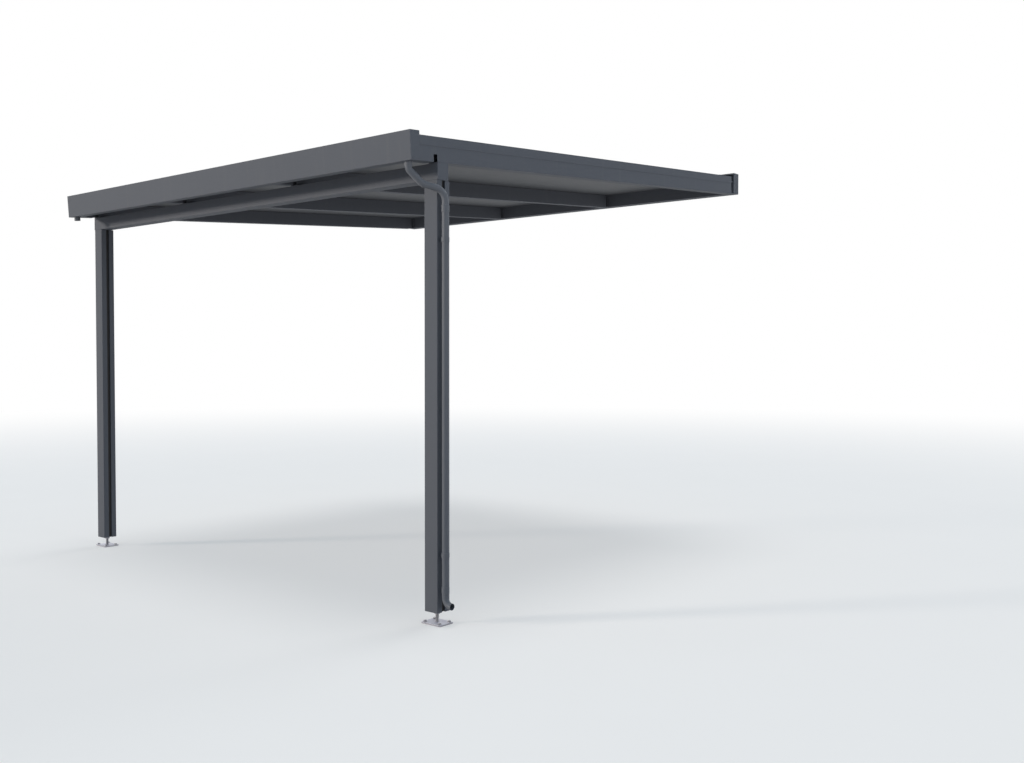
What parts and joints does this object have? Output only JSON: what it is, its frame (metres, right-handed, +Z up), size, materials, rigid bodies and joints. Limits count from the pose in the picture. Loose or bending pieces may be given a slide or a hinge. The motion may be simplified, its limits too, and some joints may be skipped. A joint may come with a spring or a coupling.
{
  "type": "wall-mounted patio cover",
  "caption": "Lean-to aluminium patio cover with a box gutter, swan-neck downpipe, opaque roof panels and slotted posts on adjustable feet.",
  "frame": {"origin": "middle of the wall plate's flat back, which lies against the wall", "axes": "+X to the right seen from the garden, +Y into the wall, +Z up; the roof falls towards -Y"},
  "size_m": [3.8423, 3.7532, 2.9944],
  "materials": {
    "frame_paint": "fine textured matt anthracite powder coat on aluminium",
    "roof_infill": "smooth warm grey coated infill sheet",
    "pipe_paint": "satin anthracite coat on a round pipe",
    "zinc_steel": "zinc-plated steel, satin"
  },
  "bodies": {
    "root": {"wall_plate": "frame_paint", "wall_end_plate_left": "frame_paint", "wall_end_plate_right": "frame_paint", "wall_flashing": "frame_paint", "wall_bracket_side_left": "frame_paint", "wall_bracket_rafter_left": "frame_paint", "wall_bracket_rafter_right": "frame_paint", "wall_bracket_side_right": "frame_paint", "side_beam_left": "frame_paint", "side_beam_right": "frame_paint", "side_trim_left": "frame_paint", "side_trim_right": "frame_paint", "rafter_left": "frame_paint", "rafter_right": "frame_paint", "rafter_cap_left": "frame_paint", "rafter_cap_right": "frame_paint", "roof_panel_left": "roof_infill", "roof_panel_middle": "roof_infill", "roof_panel_right": "roof_infill", "panel_drip_left": "frame_paint", "panel_drip_middle": "frame_paint", "panel_drip_right": "frame_paint", "gutter": "frame_paint", "gutter_end_plate_left": "frame_paint", "gutter_end_plate_right": "frame_paint", "gutter_outlet_left": "pipe_paint", "gutter_outlet_right": "pipe_paint", "carrier_beam": "frame_paint", "carrier_end_plate_left": "frame_paint", "carrier_end_plate_right": "frame_paint", "post_left": "frame_paint", "post_right": "frame_paint", "post_insert_left": "zinc_steel", "post_insert_right": "zinc_steel", "foot_nut_left": "zinc_steel", "foot_nut_right": "zinc_steel", "foot_spindle_left": "zinc_steel", "foot_spindle_right": "zinc_steel", "foot_plate_left": "zinc_steel", "foot_plate_right": "zinc_steel", "downpipe_neck": "pipe_paint", "downpipe": "pipe_paint", "downpipe_shoe": "pipe_paint", "pipe_clip_upper": "pipe_paint", "pipe_clip_lower": "pipe_paint"}
  },
  "joints": []
}
